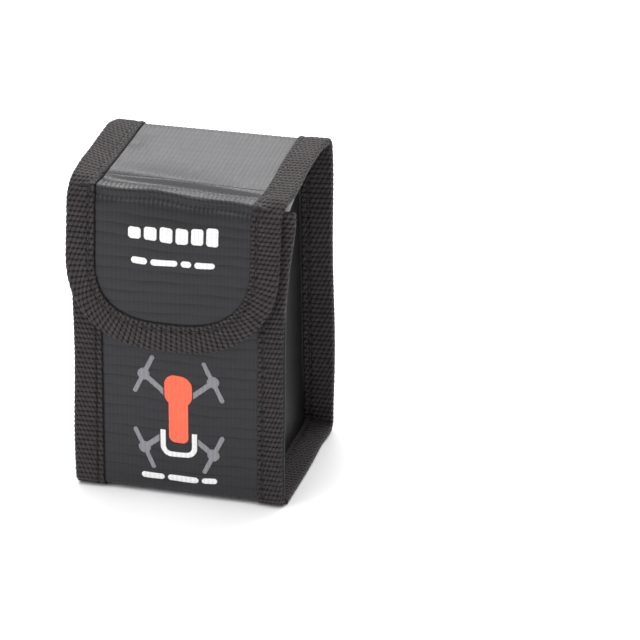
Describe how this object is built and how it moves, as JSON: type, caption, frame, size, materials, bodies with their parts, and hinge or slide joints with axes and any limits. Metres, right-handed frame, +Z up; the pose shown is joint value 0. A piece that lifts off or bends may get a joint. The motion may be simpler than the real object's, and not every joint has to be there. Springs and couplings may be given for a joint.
{
  "type": "battery safe bag",
  "caption": "Small fire-resistant fabric bag for a model aircraft battery, with tape-bound seams and a fold-over lid and flap held by hook and loop.",
  "frame": {"origin": "centre of the bag's footprint, on the surface it stands on", "axes": "+Z up from the bottom to the lid, +X to the right as seen from the front, +Y from the front to the back; the flap hangs on the -Y side"},
  "size_m": [0.078, 0.0672, 0.116],
  "materials": {
    "coated_fabric": "black ripstop cloth with a semi-gloss coating",
    "side_fabric": "smooth black coated cloth",
    "lining": "light grey woven glass-fibre cloth",
    "woven_tape": "coarse woven polypropylene tape, satin",
    "mouth_tape": "fine ribbed polyester tape, matte",
    "thread": "black polyester sewing thread",
    "loop_pile": "soft black loop pile",
    "hook_plastic": "black moulded hooks",
    "white_ink": "white screen print, satin",
    "orange_ink": "orange-red screen print, satin",
    "grey_ink": "grey screen print, satin"
  },
  "bodies": {
    "bag": {"outer_wrap": "coated_fabric", "wrap_lining": "lining", "left_side_panel": "side_fabric", "right_side_panel": "side_fabric", "left_side_lining": "lining", "right_side_lining": "lining", "left_body_binding": "woven_tape", "right_body_binding": "woven_tape", "left_body_thread": "thread", "right_body_thread": "thread", "front_mouth_binding": "mouth_tape", "left_mouth_binding": "mouth_tape", "right_mouth_binding": "mouth_tape", "loop_strip": "loop_pile", "loop_thread": "thread", "sign_hull_print": "orange_ink", "sign_rotor_print": "grey_ink", "sign_frame_print": "white_ink", "front_caption_print": "white_ink"},
    "lid": {"lid_panel": "coated_fabric", "lid_lining": "lining", "left_lid_binding": "woven_tape", "right_lid_binding": "woven_tape", "left_lid_thread": "thread", "right_lid_thread": "thread"},
    "flap": {"flap_panel": "coated_fabric", "flap_lining": "lining", "flap_binding": "woven_tape", "flap_thread": "thread", "hook_strip": "hook_plastic", "hook_thread": "thread", "flap_emblem_print": "white_ink", "flap_caption_print": "white_ink"}
  },
  "joints": [
    {"name": "lid_fold", "type": "hinge", "parent": "bag", "child": "lid", "pos_m": [0, 0.0285, 0.116], "axis": [-1, 0, 0], "range_deg": [0, 180]},
    {"name": "flap_fold", "type": "hinge", "parent": "lid", "child": "flap", "pos_m": [0, -0.0314, 0.116], "axis": [-1, 0, 0], "range_deg": [0, 180]}
  ]
}
